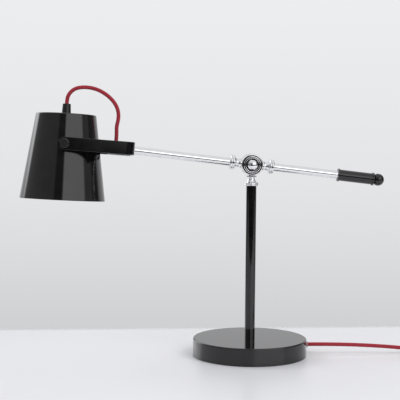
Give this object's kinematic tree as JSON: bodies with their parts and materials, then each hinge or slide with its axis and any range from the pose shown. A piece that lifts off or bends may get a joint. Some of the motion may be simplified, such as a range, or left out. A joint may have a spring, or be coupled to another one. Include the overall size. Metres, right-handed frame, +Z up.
{
  "type": "desk lamp",
  "caption": "Desk lamp: round base, upright post, tilting balance arm with a counterweight, and a conical shade in a fork, fed by a red lead.",
  "frame": {"origin": "centre of the base pad's underside, on the post's axis", "axes": "+Z up the post, +X along the arm from the shade towards the counterweight and out of the lead's gland, +Y away from the viewer of the picture"},
  "size_m": [0.776, 0.201, 0.4247],
  "materials": {
    "black_paint": "gloss black lacquer",
    "iron": "rough cast",
    "zinc": "bright zinc",
    "felt": "soft matt pad",
    "clear_plastic": "clear moulded plastic",
    "white_plastic": "white moulded plastic",
    "black_plastic": "gloss black moulded plastic",
    "chrome": "polished chrome",
    "red_cord": "red woven sleeve",
    "wire": "insulated cores",
    "fibre": "fibre washer",
    "glass": "opal glass",
    "brass": "plain brass",
    "nickel": "nickel plate"
  },
  "bodies": {
    "base": {"base_cover": "black_paint", "base_weight": "iron", "base_plate": "zinc", "base_pad": "felt", "plate_screws": "zinc", "post_nipple": "zinc", "base_washer": "zinc", "base_nut": "zinc", "lead_gland": "clear_plastic", "terminal_block": "white_plastic", "base_lead": "red_cord", "post_tube": "black_paint", "post_top_plug": "brass", "post_wire": "wire", "supply_lead": "red_cord", "switch_lower": "black_plastic", "switch_upper": "black_plastic", "switch_screws": "zinc", "lead_coil": "red_cord", "plug_body": "black_plastic", "plug_pins": "nickel"},
    "swivel": {"stem": "chrome", "stem_clip": "zinc"},
    "arm": {"hub_front": "chrome", "hub_back": "chrome", "friction_washers": "fibre", "hub_cap_nut": "chrome", "collar_left": "chrome", "collar_right": "chrome", "rod_left": "chrome", "rod_right": "chrome", "arm_wire": "wire", "counterweight": "black_paint", "counterweight_grub": "zinc", "end_ball": "black_paint"},
    "hub_knob": {"hub_knob": "chrome"},
    "fork": {"yoke": "black_paint", "fork_block": "black_paint", "block_screws": "zinc", "rod_grub": "zinc", "cord_bush": "black_plastic", "block_wire": "wire", "jumper_cord": "red_cord"},
    "shade": {"shade_shell": "black_paint", "pivot_bosses": "black_paint", "pivot_washers": "white_plastic", "boss_screws": "zinc", "cord_grip": "black_plastic", "grip_screw": "zinc", "shade_nipple": "zinc", "shade_lock_nut": "zinc", "holder_cap": "black_plastic", "holder_insulator": "white_plastic", "holder_barrel": "black_plastic", "bulb_cap": "nickel", "bulb_glass": "glass"},
    "thumb_near": {"thumb_knob_near": "black_plastic"},
    "thumb_far": {"thumb_knob_far": "black_plastic"},
    "rocker": {"switch_rocker": "black_plastic"}
  },
  "joints": [
    {"name": "post_swivel", "type": "hinge", "parent": "base", "child": "swivel", "pos_m": [0, 0, 0.27], "axis": [0, 0, 1], "range_deg": [-170, 170]},
    {"name": "arm_tilt", "type": "hinge", "parent": "swivel", "child": "arm", "pos_m": [0, 0, 0.303], "axis": [0, 1, 0], "range_deg": [-34.5, 21.3]},
    {"name": "hub_knob_turn", "type": "hinge", "parent": "arm", "child": "hub_knob", "pos_m": [0, 0, 0.303], "axis": [0, -1, 0], "range_deg": [-20, 45]},
    {"name": "fork_twist", "type": "hinge", "parent": "arm", "child": "fork", "pos_m": [-0.18576, 0, 0.32449], "axis": [-0.9934, 0, 0.1149], "range_deg": [-40, 45]},
    {"name": "shade_tilt", "type": "hinge", "parent": "fork", "child": "shade", "pos_m": [-0.29138, -0.0002, 0.33356], "axis": [-0.0072, 0.998, -0.0624], "range_deg": [-14, 50], "deforming": ["jumper_cord"]},
    {"name": "thumb_near_turn", "type": "hinge", "parent": "fork", "child": "thumb_near", "pos_m": [-0.29138, -0.0002, 0.33356], "axis": [0.0072, -0.998, 0.0624], "range_deg": [-20, 90]},
    {"name": "thumb_far_turn", "type": "hinge", "parent": "fork", "child": "thumb_far", "pos_m": [-0.29138, -0.0002, 0.33356], "axis": [-0.0072, 0.998, -0.0624], "range_deg": [-20, 90]},
    {"name": "rocker_press", "type": "hinge", "parent": "base", "child": "rocker", "pos_m": [0.292, 0, 0.0146], "axis": [0, 1, 0], "range_deg": [-12, 0]}
  ]
}
